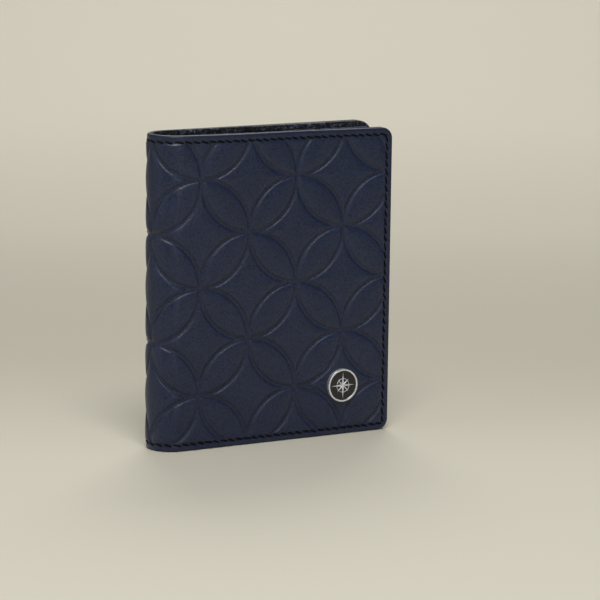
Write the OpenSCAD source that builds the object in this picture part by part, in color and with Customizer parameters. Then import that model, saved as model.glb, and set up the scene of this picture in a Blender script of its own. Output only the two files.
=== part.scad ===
// Passport holder: two stiffened leather covers joined by a soft round spine, standing ajar like a book.
// Millimetres. +Z is up and the holder stands on z = 0. The spine is at -X, the free edges at +X,
// and the front cover, with its medallion, faces -Y. The origin is under the middle of the whole.

/* [Covers] */
// Height of the holder
cover_h = 140; // [130:1:160]
// Length of each flat cover, from the spine to the free edge
cover_len = 105; // [100:1:125]
// Radius of the front cover's free corners
front_corner_r = 5; // [3:0.5:9]
// Radius of the back cover's free corners
back_corner_r = 7.5; // [3:0.5:9]
// Thickness of the outer leather
leather_t = 1.2; // [0.8:0.1:1.8]
// Thickness of the stiffening board, and of the leather turned in round it
board_t = 0.8; // [0.6:0.1:1.2]
// Thickness of the lining
lining_t = 0.6; // [0.4:0.1:1]
// Width of the leather turned in at the edges
turn_in_w = 7; // [6:0.5:10]
// Gap between the board and the turned-in leather
board_fit = 0.2; // [0.1:0.05:0.5]

/* [Spine] */
// Outer radius of the round spine
spine_r = 11; // [10:0.5:15]
// Angle between the two covers as the holder stands
ajar_angle = 1; // [0:0.5:8]
// Gap between two neighbouring strips of the spine
strip_gap = 0.4; // [0.3:0.05:0.6]

/* [Stitching] */
// Distance of the seam from the edge
seam_inset = 3; // [2.5:0.1:3.5]
// Distance from one stitch to the next
stitch_pitch = 3.8; // [3.4:0.1:5]
// Length of the thread that shows in one stitch
stitch_len = 2.8; // [1.8:0.1:2.8]
// Thread diameter
thread_d = 0.7; // [0.4:0.05:0.8]
// Slant of each stitch to the seam line, in degrees
stitch_slant = 10; // [0:1:15]
// Depth of the creased channel that the outer seam lies in
channel_depth = 0.45; // [0.2:0.05:0.6]

/* [Pockets] */
// Thickness of the large pocket panels
panel_t = 0.7; // [0.5:0.1:1]
// Thickness of one card slot panel
slot_t = 0.6; // [0.4:0.1:0.8]
// Room inside the document pocket and the slip pocket
pocket_gap = 0.8; // [0.5:0.1:1.2]
// Room inside the passport sleeve, for the passport's own cover
sleeve_gap = 1; // [0.7:0.1:1.5]
// Room inside a card slot
card_gap = 0.8; // [0.8:0.05:1]
// Width of a pocket's turned edge, which the seam goes through
pocket_seam_w = 4; // [4:0.5:5]
// Distance of the large pocket panels from the spine end of the flat cover
panel_start = 10; // [8:0.5:13]
// Width of the passport sleeve
sleeve_w = 62; // [45:1:80]
// Height of the lowest card slot's top edge
slot_low_z = 60; // [52:1:70]
// Distance from one card slot's top edge to the next
slot_pitch = 18; // [12:1:20]
// Depth of a card slot
slot_depth = 46; // [40:1:48]
// Height of the strip that closes a card slot at its floor
slot_floor_w = 2; // [1.5:0.5:3]

/* [Medallion] */
// Diameter of the medallion
medallion_d = 15; // [10:0.5:20]
// How far the medallion stands out from the leather
medallion_h = 2.1; // [1.2:0.1:3]
// Width of the medallion's rim
medallion_rim_w = 0.8; // [0.5:0.1:1.5]
// Depth of the recess inside the rim
medallion_recess = 0.5; // [0.4:0.05:0.8]
// Distance of the medallion's centre from the free edge
medallion_from_edge = 25; // [18:0.5:45]
// Height of the medallion's centre
medallion_z = 23; // [18:0.5:40]
// Diameter of the rivet post behind the medallion
post_d = 2; // [1.5:0.1:3]
// Diameter of the washer that the post is riveted over
washer_d = 9; // [6:0.5:12]
// Radial gap between the post and the holes that it passes
post_fit = 0.05; // [0.03:0.01:0.2]

/* [Hidden] */
$fn = 96;
rest = 0.01; // gap between a thread and the face that it lies on
hair = 0.05; // gap between neighbouring ends that stay separate
joints = 4; // joints in the spine, with a strip between each two of them
slots = 3; // card slots, numbered from the highest, which lies deepest
half_ajar = ajar_angle / 2;
joint_step = (180 - ajar_angle) / joints;
fold_t = leather_t + board_t; // the leather where it is doubled, at the edges and in the spine
shell_t = fold_t + lining_t;
pocket_t = pocket_gap + panel_t;
sleeve_t = sleeve_gap + panel_t;
slot_step = card_gap + slot_t;
front_stack = shell_t + pocket_t + slots * slot_step;
back_stack = shell_t + pocket_t + sleeve_t;
sleeve_start = cover_len - sleeve_w;
side_seam = panel_start + seam_inset;
channel_room = thread_d + stitch_len * sin(stitch_slant) + 2 * hair;
channel_w = ceil(channel_room * 20) / 20; // a whole number of twentieths of a millimetre
thread_sink = channel_depth - thread_d / 2 - rest;
spine_stitch_len = stitch_len * 0.7; // on the inside of the spine
spine_end_r = spine_r - shell_t - hair; // where the ends of such a stitch reach
spine_inside_r = sqrt(pow(spine_end_r, 2) - pow(spine_stitch_len / 2, 2)) - thread_d / 2;
medallion_r = medallion_d / 2;
medallion_u = cover_len - medallion_from_edge;
washer_room = 0.3; // between the washer and the lining
washer_t = board_t - washer_room;
enamel_t = medallion_recess / 2;
rose_t = medallion_recess * 0.4; // a little lower than the rim
rose_r = medallion_r - 2 * medallion_rim_w;

// The spine's centre is placed so that the origin is under the middle of the whole.
edge_x = cover_len * cos(half_ajar) + (max(front_stack, back_stack) - spine_r) * sin(half_ajar);
spine_x = (spine_r - edge_x) / 2;
seam_reach = (spine_r + thread_d / 2 - thread_sink) * cos(half_ajar)
    + (cover_len - seam_inset) * sin(half_ajar);
medallion_reach = (spine_r + medallion_h) * cos(half_ajar) + (medallion_u + medallion_r) * sin(half_ajar);
spine_y = (max(seam_reach, medallion_reach) - seam_reach) / 2;

// ---------- Frames ----------

// Puts its children on the spine's centre line, turned by the angle a from the +Y direction.
module on_spine(a = 0) {
    translate([spine_x, spine_y, 0])
        rotate([0, 0, a])
            children();
}

// Puts its children on a cover: x runs from the spine to the free edge, y = 0 is the outer face
// and negative y is inside, and z is up.
module on_cover(side) {
    translate([spine_x, spine_y, 0])
        mirror([0, side == "front" ? 1 : 0, 0])
            rotate([0, 0, half_ajar])
                translate([0, spine_r, 0])
                    children();
}

// A flat layer of thickness t, its outer face at depth d, cut to the outline given as a child.
module layer(d, t) {
    translate([0, -d, 0])
        rotate([90, 0, 0])
            linear_extrude(t)
                children();
}

// ---------- Outlines, in length along the cover and height ----------

function corner_r(side) = side == "front" ? front_corner_r : back_corner_r;

// A cover's outline, square at the spine and round at the free corners.
module cover_outline(side) {
    r = corner_r(side);
    square([cover_len - r, cover_h]);
    translate([0, r])
        square([cover_len, cover_h - 2 * r]);
    for (z = [r, cover_h - r])
        translate([cover_len - r, z])
            circle(r);
}

// The part of the outline beyond the length u_start and between two heights.
module outline_part(side, u_start, z_low = 0, z_high = cover_h) {
    intersection() {
        cover_outline(side);
        translate([u_start, z_low])
            square([cover_len, z_high - z_low]);
    }
}

// A band of width w along the seam.
module seam_band(w) {
    outer = seam_inset - w / 2;
    inner = seam_inset + w / 2;
    difference() {
        translate([-1, outer])
            square([cover_len - outer + 1, cover_h - 2 * outer]);
        translate([-2, inner])
            square([cover_len - inner + 2, cover_h - 2 * inner]);
    }
}

// ---------- Stitches ----------

// One stitch along x, its middle at the origin.
module stitch(length = stitch_len) {
    rotate([0, 90, 0])
        cylinder(d = thread_d, h = length, center = true);
}

// A row of stitches from p to q, both in length and height, with the thread's middle at depth(u, z).
module stitch_row(p, q, depth, slant = 0) {
    n = max(1, round(norm(q - p) / stitch_pitch));
    a = atan2(q[1] - p[1], q[0] - p[0]);
    for (k = [0:n - 1])
        let (m = p + (q - p) * (k + 0.5) / n)
            translate([m[0], -depth(m[0], m[1]), m[1]])
                rotate([0, slant - a, 0])
                    stitch();
}

// The stitches at one place round the spine, at the top and the bottom.
module spine_stitches(inside, slant) {
    for (z = [seam_inset, cover_h - seam_inset])
        translate([0, inside ? spine_inside_r : spine_r - thread_sink, z])
            rotate([0, inside ? 0 : slant, 0])
                stitch(inside ? spine_stitch_len : stitch_len);
}

// The seam along the top, down the free side and back along the bottom. Seen from outside, every
// stitch slopes down to the right in the top row, also on the back.
module seam(side, inside) {
    top = cover_h - seam_inset;
    right = cover_len - seam_inset;
    slant = side == "front" ? stitch_slant : -stitch_slant;
    depth = !inside ? outside_depth : side == "front" ? front_depth : back_depth;
    on_cover(side) {
        stitch_row([0, top], [right, top], depth, slant);
        stitch_row([right, top], [right, seam_inset], depth, slant);
        stitch_row([right, seam_inset], [0, seam_inset], depth, slant);
        translate([0, -spine_r, 0])
            rotate([0, 0, joint_step / 4])
                spine_stitches(inside, slant);
    }
}

// The depth of a thread that lies in the channel outside.
outside_depth = function (u, z) thread_sink;

// The depth of a thread that lies on the pockets inside. Where a stitch crosses the edge of a
// pocket it lies on the higher side.
reach = (stitch_len + thread_d) / 2;
function slot_top(k) = slot_low_z + (slots - k) * slot_pitch;
function slot_face(k) = shell_t + pocket_t + (k - 1) * slot_step;
slots_under = function (z) len([for (k = [1:slots]) if (z - reach < slot_top(k)) k]);
front_depth = function (u, z)
    shell_t + thread_d / 2 + rest + (u + reach > panel_start ? pocket_t + slots_under(z) * slot_step : 0);
back_depth = function (u, z)
    shell_t + thread_d / 2 + rest
    + (u + reach > panel_start ? pocket_t : 0)
    + (u + reach > sleeve_start ? sleeve_t : 0);

// ---------- Covers and spine ----------

// The plan of a piece of the spine between the angles a and b, r_out in outer radius and t thick,
// cut back square by gap_a and gap_b at its two ends.
module spine_plan(r_out, t, a, b, gap_a, gap_b) {
    big = 2 * spine_r;
    intersection() {
        difference() {
            circle(r_out);
            circle(r_out - t);
        }
        rotate(a)
            translate([-big - gap_a, -big])
                square([big, 2 * big]);
        rotate(b)
            translate([gap_b, -big])
                square([big, 2 * big]);
    }
}

// The half strip of the spine that stays with a cover, in the cover's frame.
module cover_end(d, t) {
    translate([0, -spine_r, 0])
        linear_extrude(cover_h)
            spine_plan(spine_r - d, t, 0, joint_step / 2, 0, strip_gap / 2);
}

// The channel of the seam round the spine from the angle a, at the top and the bottom. It is longer
// than a strip, so that it runs out at both of the strip's ends.
module spine_channel(a) {
    turn = 1.5 * joint_step;
    for (z = [seam_inset, cover_h - seam_inset])
        translate([0, 0, z])
            rotate([0, 0, 90 + a])
                rotate_extrude(angle = turn)
                    translate([spine_r - channel_depth, -channel_w / 2])
                        square([2 * channel_depth, channel_w]);
}

// The outer leather of a cover. It is doubled in the spine and at the edges, where it is turned in
// round the board.
module cover_leather(side) {
    on_cover(side) {
        difference() {
            layer(0, fold_t)
                cover_outline(side);
            layer(leather_t, fold_t)
                translate([turn_in_w, turn_in_w])
                    square([cover_len - 2 * turn_in_w, cover_h - 2 * turn_in_w]);
            layer(-1, 1 + channel_depth)
                seam_band(channel_w);
            if (side == "front")
                medallion_hole();
        }
        difference() {
            cover_end(0, fold_t);
            translate([0, -spine_r, 0])
                spine_channel(-joint_step / 4);
        }
    }
}

// The board fills the recess, and leaves room for the washer behind the medallion.
module cover_board(side) {
    inset = turn_in_w + board_fit;
    on_cover(side)
        difference() {
            layer(leather_t, board_t)
                translate([inset, inset])
                    square([cover_len - 2 * inset, cover_h - 2 * inset]);
            if (side == "front")
                translate([medallion_u, 0, medallion_z])
                    rotate([90, 0, 0])
                        cylinder(d = washer_d + 2 * board_fit, h = shell_t);
        }
}

module cover_lining(side) {
    on_cover(side) {
        layer(fold_t, lining_t)
            cover_outline(side);
        cover_end(fold_t, lining_t);
    }
}

module back_leather() { color("#1f2a40") cover_leather("back"); }
module front_leather() { color("#1f2a40") cover_leather("front"); }
module back_board() { color("#8a7f70") cover_board("back"); }
module front_board() { color("#8a7f70") cover_board("front"); }
module back_lining() { color("#141a26") cover_lining("back"); }
module front_lining() { color("#141a26") cover_lining("front"); }
module back_seam_outside() { color("#0c101a") seam("back", false); }
module front_seam_outside() { color("#0c101a") seam("front", false); }
module back_seam_inside() { color("#0c101a") seam("back", true); }
module front_seam_inside() { color("#0c101a") seam("front", true); }

// The angle from +Y of the joint before strip k, counted from the back cover.
function joint_angle(k) = half_ajar + (k - 0.5) * joint_step;

module spine_strip(k, d, t) {
    on_spine()
        linear_extrude(cover_h)
            spine_plan(spine_r - d, t, joint_angle(k), joint_angle(k + 1), strip_gap / 2, strip_gap / 2);
}

module strip_leather(k) {
    color("#1f2a40")
        difference() {
            spine_strip(k, 0, fold_t);
            on_spine()
                spine_channel(joint_angle(k) - joint_step / 4);
        }
}

module strip_lining(k) {
    color("#141a26") spine_strip(k, fold_t, lining_t);
}

// The stitches on a strip: two at the top and two at the bottom, outside and inside.
module strip_seam(k) {
    color("#0c101a")
        for (part = [0.25, 0.75])
            on_spine(joint_angle(k) + part * joint_step) {
                spine_stitches(false, -stitch_slant);
                spine_stitches(true, 0);
            }
}

module spine_leather_1() { strip_leather(1); }
module spine_leather_2() { strip_leather(2); }
module spine_leather_3() { strip_leather(3); }
module spine_lining_1() { strip_lining(1); }
module spine_lining_2() { strip_lining(2); }
module spine_lining_3() { strip_lining(3); }
module spine_seam_1() { strip_seam(1); }
module spine_seam_2() { strip_seam(2); }
module spine_seam_3() { strip_seam(3); }

// ---------- Pockets ----------

// A panel from u_start to the free edge and up to the height z_high, its outer face at depth d.
module pocket_panel(side, u_start, d, t, z_high = cover_h) {
    on_cover(side)
        layer(d, t)
            outline_part(side, u_start, 0, z_high);
}

// The turned edges that hold a panel off the layer under it, at the top, the bottom and the free side.
module turned_edges(side, u_start, d, t) {
    on_cover(side)
        layer(d, t) {
            outline_part(side, u_start, 0, pocket_seam_w);
            outline_part(side, u_start, cover_h - pocket_seam_w, cover_h);
            outline_part(side, cover_len - pocket_seam_w, pocket_seam_w + hair, cover_h - pocket_seam_w - hair);
        }
}

module document_pocket() {
    color("#1a2334") pocket_panel("back", panel_start, shell_t + pocket_gap, panel_t);
}
module document_pocket_turned_edge() {
    color("#161d2c") turned_edges("back", panel_start, shell_t, pocket_gap);
}
module passport_sleeve() {
    color("#1f2a40") pocket_panel("back", sleeve_start, shell_t + pocket_t + sleeve_gap, panel_t);
}
module passport_sleeve_turned_edge() {
    color("#161d2c") turned_edges("back", sleeve_start, shell_t + pocket_t, sleeve_gap);
}
module slip_pocket() {
    color("#1a2334") pocket_panel("front", panel_start, shell_t + pocket_gap, panel_t);
}
module slip_pocket_turned_edge() {
    color("#161d2c") turned_edges("front", panel_start, shell_t, pocket_gap);
}

module card_slot(k) {
    color("#1f2a40") pocket_panel("front", panel_start, slot_face(k) + card_gap, slot_t, slot_top(k));
}

// The stitched sides and the floor of a card slot.
module card_slot_edges(k) {
    w = pocket_seam_w;
    floor_z = slot_top(k) - slot_depth - slot_floor_w;
    color("#161d2c")
        on_cover("front")
            layer(slot_face(k), card_gap) {
                translate([panel_start, 0])
                    square([w, slot_top(k)]);
                outline_part("front", cover_len - w, 0, slot_top(k));
                translate([panel_start + w + hair, floor_z])
                    square([cover_len - panel_start - 2 * w - 2 * hair, slot_floor_w]);
            }
}

module card_slot_1() { card_slot(1); }
module card_slot_2() { card_slot(2); }
module card_slot_3() { card_slot(3); }
module card_slot_1_edges() { card_slot_edges(1); }
module card_slot_2_edges() { card_slot_edges(2); }
module card_slot_3_edges() { card_slot_edges(3); }

// A row of stitches beside the mouth of each of the back cover's two pockets.
module back_pocket_stitching() {
    low = 2 * seam_inset;
    high = cover_h - 2 * seam_inset;
    color("#0c101a")
        on_cover("back")
            for (u = [side_seam, sleeve_start + seam_inset])
                stitch_row([u, low], [u, high], back_depth);
}

// A row of stitches down the spine side of the card slots, and on beside the slip pocket's mouth.
module front_pocket_stitching() {
    low = 2 * seam_inset;
    high = cover_h - 2 * seam_inset;
    color("#0c101a")
        on_cover("front")
            stitch_row([side_seam, low], [side_seam, high], front_depth);
}

// ---------- Medallion ----------

// Puts its children on the medallion's seat on the leather, with z away from the cover.
module on_medallion() {
    on_cover("front")
        translate([medallion_u, 0, medallion_z])
            rotate([-90, 0, 0])
                children();
}

// The hole that the post passes in the leather, in the cover's frame.
module medallion_hole() {
    translate([medallion_u, 1, medallion_z])
        rotate([90, 0, 0])
            cylinder(d = post_d + 2 * post_fit, h = leather_t + 2);
}

module medallion_disc() {
    post_len = leather_t + washer_t;
    post_root = medallion_h / 4; // how far the post reaches into the disc
    color("#c9c9c6")
        on_medallion()
            union() {
                difference() {
                    cylinder(d = medallion_d, h = medallion_h);
                    translate([0, 0, medallion_h - medallion_recess])
                        cylinder(r = medallion_r - medallion_rim_w, h = medallion_h);
                }
                translate([0, 0, -post_len])
                    cylinder(d = post_d, h = post_len + post_root);
            }
}

// The black enamel lies on the floor of the recess.
module medallion_enamel() {
    color("#16171a")
        on_medallion()
            translate([0, 0, medallion_h - medallion_recess])
                cylinder(r = medallion_r - medallion_rim_w - hair, h = enamel_t);
}

// A compass rose of four long and four short points with a ring behind them.
module rose_outline() {
    shoulder = rose_r * 0.16;
    short_r = rose_r * 0.72;
    ring_r = rose_r * 0.52;
    ring_w = rose_r * 0.07;
    for (a = [0:45:315])
        rotate(a)
            polygon([[0, 0], [shoulder, -shoulder], [a % 90 == 0 ? rose_r : short_r, 0], [shoulder, shoulder]]);
    difference() {
        circle(ring_r + ring_w / 2);
        circle(ring_r - ring_w / 2);
    }
}

module medallion_compass_rose() {
    color("#d8d8d6")
        on_medallion()
            translate([0, 0, medallion_h - medallion_recess + enamel_t])
                linear_extrude(rose_t)
                    rose_outline();
}

// The post is riveted over the washer, behind the leather and inside the hole in the board.
module medallion_washer() {
    color("#9a9a98")
        on_medallion()
            translate([0, 0, -leather_t - washer_t])
                difference() {
                    cylinder(d = washer_d, h = washer_t);
                    translate([0, 0, -1])
                        cylinder(d = post_d + 2 * post_fit, h = washer_t + 2);
                }
}

// ---------- What is shown ----------

back_leather();
back_board();
back_lining();
back_seam_outside();
back_seam_inside();
document_pocket();
document_pocket_turned_edge();
passport_sleeve();
passport_sleeve_turned_edge();
back_pocket_stitching();
spine_leather_1();
spine_leather_2();
spine_leather_3();
spine_lining_1();
spine_lining_2();
spine_lining_3();
spine_seam_1();
spine_seam_2();
spine_seam_3();
front_leather();
front_board();
front_lining();
front_seam_outside();
front_seam_inside();
slip_pocket();
slip_pocket_turned_edge();
card_slot_1();
card_slot_2();
card_slot_3();
card_slot_1_edges();
card_slot_2_edges();
card_slot_3_edges();
front_pocket_stitching();
medallion_disc();
medallion_enamel();
medallion_compass_rose();
medallion_washer();
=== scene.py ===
import bpy
import math
import numpy as np
from mathutils import Matrix, Vector


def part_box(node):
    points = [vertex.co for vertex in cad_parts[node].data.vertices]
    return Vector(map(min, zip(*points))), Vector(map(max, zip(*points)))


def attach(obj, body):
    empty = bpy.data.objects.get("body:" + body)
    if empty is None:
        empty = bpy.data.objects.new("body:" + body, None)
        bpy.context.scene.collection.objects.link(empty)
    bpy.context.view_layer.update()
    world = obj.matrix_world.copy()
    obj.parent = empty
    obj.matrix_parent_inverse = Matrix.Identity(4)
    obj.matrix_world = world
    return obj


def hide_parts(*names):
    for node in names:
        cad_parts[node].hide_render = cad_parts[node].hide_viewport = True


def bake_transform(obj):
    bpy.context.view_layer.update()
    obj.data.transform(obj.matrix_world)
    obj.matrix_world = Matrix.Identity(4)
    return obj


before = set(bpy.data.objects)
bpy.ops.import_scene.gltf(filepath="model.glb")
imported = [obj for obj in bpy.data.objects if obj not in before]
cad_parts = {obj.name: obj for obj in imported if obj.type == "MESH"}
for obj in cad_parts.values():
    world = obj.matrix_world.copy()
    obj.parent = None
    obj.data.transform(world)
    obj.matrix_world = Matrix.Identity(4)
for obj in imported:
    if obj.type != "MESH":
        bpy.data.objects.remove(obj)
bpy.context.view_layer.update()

mm = 0.001
print("frame loaded:", len(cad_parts), "nodes")

# the holder's own measures in millimetres. The CAD has them too, apart from the bulge and the droop.
holder = {
    "height": 140.0,
    "length": 105.0,  # of a flat cover
    "spineRadius": 11.0,
    "ajar": math.radians(1.0),
    "leather": 1.2,
    "board": 0.8,
    "lining": 0.6,
    "turnIn": 7.2,  # from the edge to the board
    "frontCorner": 5.0,
    "backCorner": 7.5,
    "seamInset": 3.0,
    "bulge": 2.6,  # how far the front swells beside the spine, at its top
    "bulgeAt": 22.0,
    "bulgeWidth": 26.0,
    "bulgeRise": 1.5,  # the power of the height that it grows with
    "bulgeGone": 0.6,  # share of the way round the spine where it ends
    "bulgeWhole": 4.0,
    "droop": 1.4,  # how much lower the front's free corner lies than the spine's top
}
spineLow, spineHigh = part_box("spine_leather_2")
halfAjar = holder["ajar"] / 2
spineTurn = math.pi - holder["ajar"]
arcLength = holder["spineRadius"] * spineTurn
foldLength = arcLength / 4
spineCentre = (spineLow.x / mm + holder["spineRadius"], (spineLow.y + spineHigh.y) / 2 / mm)
foldDepth = holder["leather"] + holder["board"]
shellDepth = foldDepth + holder["lining"]
top = holder["height"]


def linearColour(hexText):
    # sRGB hex to linear: ((c + 0.055) / 1.055) ** 2.4 above the toe
    srgb = [int(hexText[k:k + 2], 16) / 255 for k in (1, 3, 5)]
    return [c / 12.92 if c <= 0.04045 else ((c + 0.055) / 1.055) ** 2.4 for c in srgb] + [1.0]


def addNode(tree, kind, sockets=None, **settings):
    # adds one node with its settings, and fills its sockets with values or links
    node = tree.nodes.new(kind)
    for name, value in settings.items():
        setattr(node, name, value)
    for name, value in (sockets or {}).items():
        if isinstance(value, bpy.types.NodeSocket):
            tree.links.new(value, node.inputs[name])
        else:
            node.inputs[name].default_value = value
    return node


def newMaterial(name):
    # an empty material and its node tree
    material = bpy.data.materials.new(name)
    material.use_nodes = True
    material.node_tree.nodes.clear()
    return material, material.node_tree


def smoothStep(low, high, x):
    # 0 below low, 1 above high, 3t^2 - 2t^3 between
    t = np.clip((x - low) / (high - low), 0, 1)
    return t * t * (3 - 2 * t)


def place(s, z, depth):
    # Bends flat leather round the spine. s is the length along the outer face in mm, 0 where the front
    # leaves the spine; the normal turns by -s / R there, and depth goes inwards from the outer face.
    # Near its top the front swells by a bell curve of s beside the spine, and it droops as s / length.
    s, z, depth = np.broadcast_arrays(np.asarray(s, float), z, depth)
    turn = np.clip(-s / holder["spineRadius"], 0, spineTurn)
    angle = -math.pi / 2 - halfAjar - turn
    normal = np.stack([np.cos(angle), np.sin(angle)], -1)
    along = np.stack([-np.sin(angle), np.cos(angle)], -1)
    run = np.maximum(s, 0) + np.minimum(s + arcLength, 0)
    share = np.clip(z / top, 0, 1)
    bell = np.exp(-((s - holder["bulgeAt"]) / holder["bulgeWidth"]) ** 2)
    fade = smoothStep(-arcLength * holder["bulgeGone"], holder["bulgeWhole"], s)
    swell = holder["bulge"] * share ** holder["bulgeRise"] * bell * fade
    reach = holder["spineRadius"] - depth + swell
    flat = np.array(spineCentre) + reach[..., None] * normal + run[..., None] * along
    lower = z * (1 - holder["droop"] / top * np.clip(s / holder["length"], 0, 1))
    return np.concatenate([flat, lower[..., None]], -1) * mm


def makePiece(name, parts, material, smooth=True):
    # joins parts, each a dict of points, faces and perhaps uv, painted shade and edge paint, and normals, into one
    # mesh
    count = np.cumsum([0] + [p["points"].reshape(-1, 3).shape[0] for p in parts])
    faces = [[v + start for v in face] for p, start in zip(parts, count) for face in p["faces"]]
    mesh = bpy.data.meshes.new(name)
    mesh.from_pydata(np.concatenate([p["points"].reshape(-1, 3) for p in parts]).tolist(), [], faces)
    mesh.update()
    loops = np.zeros(len(mesh.loops), np.int32)
    mesh.loops.foreach_get("vertex_index", loops)
    if "uv" in parts[0]:
        uv = np.concatenate([p["uv"].reshape(-1, 2) for p in parts])
        mesh.uv_layers.new(name="flat").data.foreach_set("uv", uv[loops].astype(np.float32).ravel())
    if "shadeAndEdgePaint" in parts[0]:
        shadeAndEdgePaint = np.concatenate([p["shadeAndEdgePaint"].ravel() for p in parts])
        mesh.attributes.new("shadeAndEdgePaint", "FLOAT", "POINT").data.foreach_set("value", shadeAndEdgePaint.astype(np.float32))
    if smooth:
        mesh.shade_smooth()
    if "normals" in parts[0]:
        normals = np.concatenate([p["normals"].reshape(-1, 3) for p in parts])
        mesh.normals_split_custom_set_from_vertices(normals.tolist())
    mesh.materials.append(material)
    piece = bpy.data.objects.new(name, mesh)
    bpy.context.scene.collection.objects.link(piece)
    return piece


def tubeFaces(columns, ring):
    # quads between neighbouring closed rings, and one face over each end
    index = np.arange(columns * ring).reshape(columns, ring)
    following = np.roll(index, -1, axis=1)
    quads = np.stack([index[:-1], following[:-1], following[1:], index[1:]], -1).reshape(-1, 4).tolist()
    return quads + [index[0][::-1].tolist(), index[-1].tolist()]


def turnedOut(part):
    # Turns a closed part whose faces point inwards: the sum of a . (b x c) over its triangles is below 0.
    points = part["points"].reshape(-1, 3) - part["points"].reshape(-1, 3).mean(0)
    fans = np.array([[f[0], f[k], f[k + 1]] for f in part["faces"] if len(f) < 5 for k in range(1, len(f) - 1)])
    a, b, c = (points[fans[:, k]] for k in range(3))
    if (a * np.cross(b, c)).sum() < 0:
        part["faces"] = [face[::-1] for face in part["faces"]]
        if "normals" in part:
            part["normals"] = -part["normals"]
    return part


def finishPiece(piece, body, slot, *nodes):
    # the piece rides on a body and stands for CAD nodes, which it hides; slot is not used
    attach(piece, body)
    if nodes:
        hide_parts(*nodes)
    return piece


view = {
    "focal": 2900.0,  # in pixels of a picture as wide as "picture"
    "picture": 600,
    "sensor": 36.0,
    "clip": (0.05, 20.0),
    "turn": math.radians(29.522),
    "pitch": math.radians(10.306),
    "roll": math.radians(-0.713),
    "foot": (-51.023, 1242.49, -294.539),  # where the front leaves the spine on the floor: right, ahead, up, in mm
}
viewSpin = Matrix.Rotation(-view["turn"], 3, "Z")


def makeCamera():
    # right, up and back axes: pitched down, then rolled about the view line, then turned about Z
    pitch, roll = view["pitch"], view["roll"]
    right = Vector((1, 0, 0))
    up = Vector((0, math.sin(pitch), math.cos(pitch)))
    back = Vector((0, -math.cos(pitch), math.sin(pitch)))
    axes = [right * math.cos(roll) - up * math.sin(roll), right * math.sin(roll) + up * math.cos(roll), back]
    turned = Matrix([viewSpin @ axis for axis in axes]).transposed()
    foot = Vector(place(0.0, 0.0, 0.0).tolist())
    data = bpy.data.cameras.new("camera")
    data.sensor_width = view["sensor"]
    data.lens = view["focal"] / view["picture"] * view["sensor"]
    data.clip_start, data.clip_end = view["clip"]
    camera = bpy.data.objects.new("camera", data)
    camera.matrix_world = Matrix.Translation(foot - viewSpin @ Vector(view["foot"]) * mm) @ turned.to_4x4()
    bpy.context.scene.collection.objects.link(camera)
    bpy.context.scene.camera = camera


paper = {
    # in metres: the floor's front edge and where it starts to curve up, the curve's radius, the wall's
    # top edge and half the sheet's width
    "front": -1.6,
    "depth": 1.2,
    "curve": 0.7,
    "rise": 1.8,
    "width": 3.0,
    "steps": (30, 24, 12, 13),  # points along the floor, the curve and the wall, and across
    "tone": "#d4cfbf",
    # painted shade: the band is darker where the floor's light falls off; the far tone is painted light, lighter
    # towards the wall
    "band": "#c4bfaf",  # a darker band across the floor, behind the holder
    "bandAt": (1.55, 1.8, 2.2),  # where it starts, is darkest and ends, from the floor's front edge
    "far": "#e8e3d3",
    "farAt": 3.2,
}


def makePaper():
    # One sheet: a flat floor that curves up into a wall, y = d + r sin(a) and z = r - r cos(a).
    onFloor, onCurve, onWall, sideways = paper["steps"]
    floor = np.linspace(paper["front"], paper["depth"], onFloor)[:-1]
    angle = np.linspace(0, math.pi / 2, onCurve)
    wall = np.linspace(paper["curve"], paper["rise"], onWall)[1:]
    bend = paper["depth"] + paper["curve"] * np.sin(angle)
    profile = np.concatenate([np.stack([floor, 0 * floor], -1),
                              np.stack([bend, paper["curve"] * (1 - np.cos(angle))], -1),
                              np.stack([0 * wall + paper["depth"] + paper["curve"], wall], -1)])
    run = np.concatenate([[0], np.cumsum(np.hypot(*np.diff(profile, axis=0).T))])
    across = np.linspace(-paper["width"], paper["width"], sideways)
    grid = np.stack(np.broadcast_arrays(across[:, None], profile[None, :, 0], profile[None, :, 1]), -1)
    index = np.arange(grid[..., 0].size).reshape(grid.shape[:2])
    faces = np.stack([index[:-1, :-1], index[1:, :-1], index[1:, 1:], index[:-1, 1:]], -1).reshape(-1, 4)
    material, tree = newMaterial("matt paper")
    flat = addNode(tree, "ShaderNodeUVMap", uv_map="flat")
    parts = addNode(tree, "ShaderNodeSeparateXYZ", {0: flat.outputs[0]})
    share = addNode(tree, "ShaderNodeMath", {0: parts.outputs["Y"], 1: paper["farAt"]}, operation="DIVIDE")
    ramp = addNode(tree, "ShaderNodeValToRGB", {0: share.outputs[0]})
    ramp.color_ramp.interpolation = "CARDINAL"
    spots = ramp.color_ramp.elements
    start, darkest, end = paper["bandAt"]
    # painted light and shade on the paper: a darker band of shade behind the holder, lighter towards the wall
    tones = ((0.0, "tone"), (start, "tone"), (darkest, "band"), (end, "tone"), (paper["farAt"], "far"))
    for k, (distance, name) in enumerate(tones):
        position = distance / paper["farAt"]
        spot = spots[k] if k < 2 else spots.new(position)  # a new ramp already has two
        spot.position = position
        spot.color = linearColour(paper[name])
    matt = addNode(tree, "ShaderNodeBsdfDiffuse", {"Color": ramp.outputs[0]})
    addNode(tree, "ShaderNodeOutputMaterial", {"Surface": matt.outputs[0]})
    uv = np.stack(np.broadcast_arrays(across[:, None], run[None, :]), -1)
    makePiece("paper", [{"points": grid @ np.array(viewSpin.transposed()), "faces": faces.tolist(),
                                  "uv": uv}], material)


studio = {
    "aim": (0, 0, 0.07),  # the middle of the holder
    # name, place seen from the camera's side (right, ahead, up), size in metres and power in watts
    "boxes": (
        ("keyBox", (0.05, -0.72, 1.25), 0.7, 11.6),
        ("sideBox", (-1.3, -0.7, 0.6), 0.8, 2.4),
        ("frontBox", (0.5, -1.3, 0.4), 0.35, 1.2),
        ("wallBox", (0.0, 1.45, 1.6), 1.2, 16.0),
    ),
    "room": "#fbfcff",
    "roomPower": 0.17,
}


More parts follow.
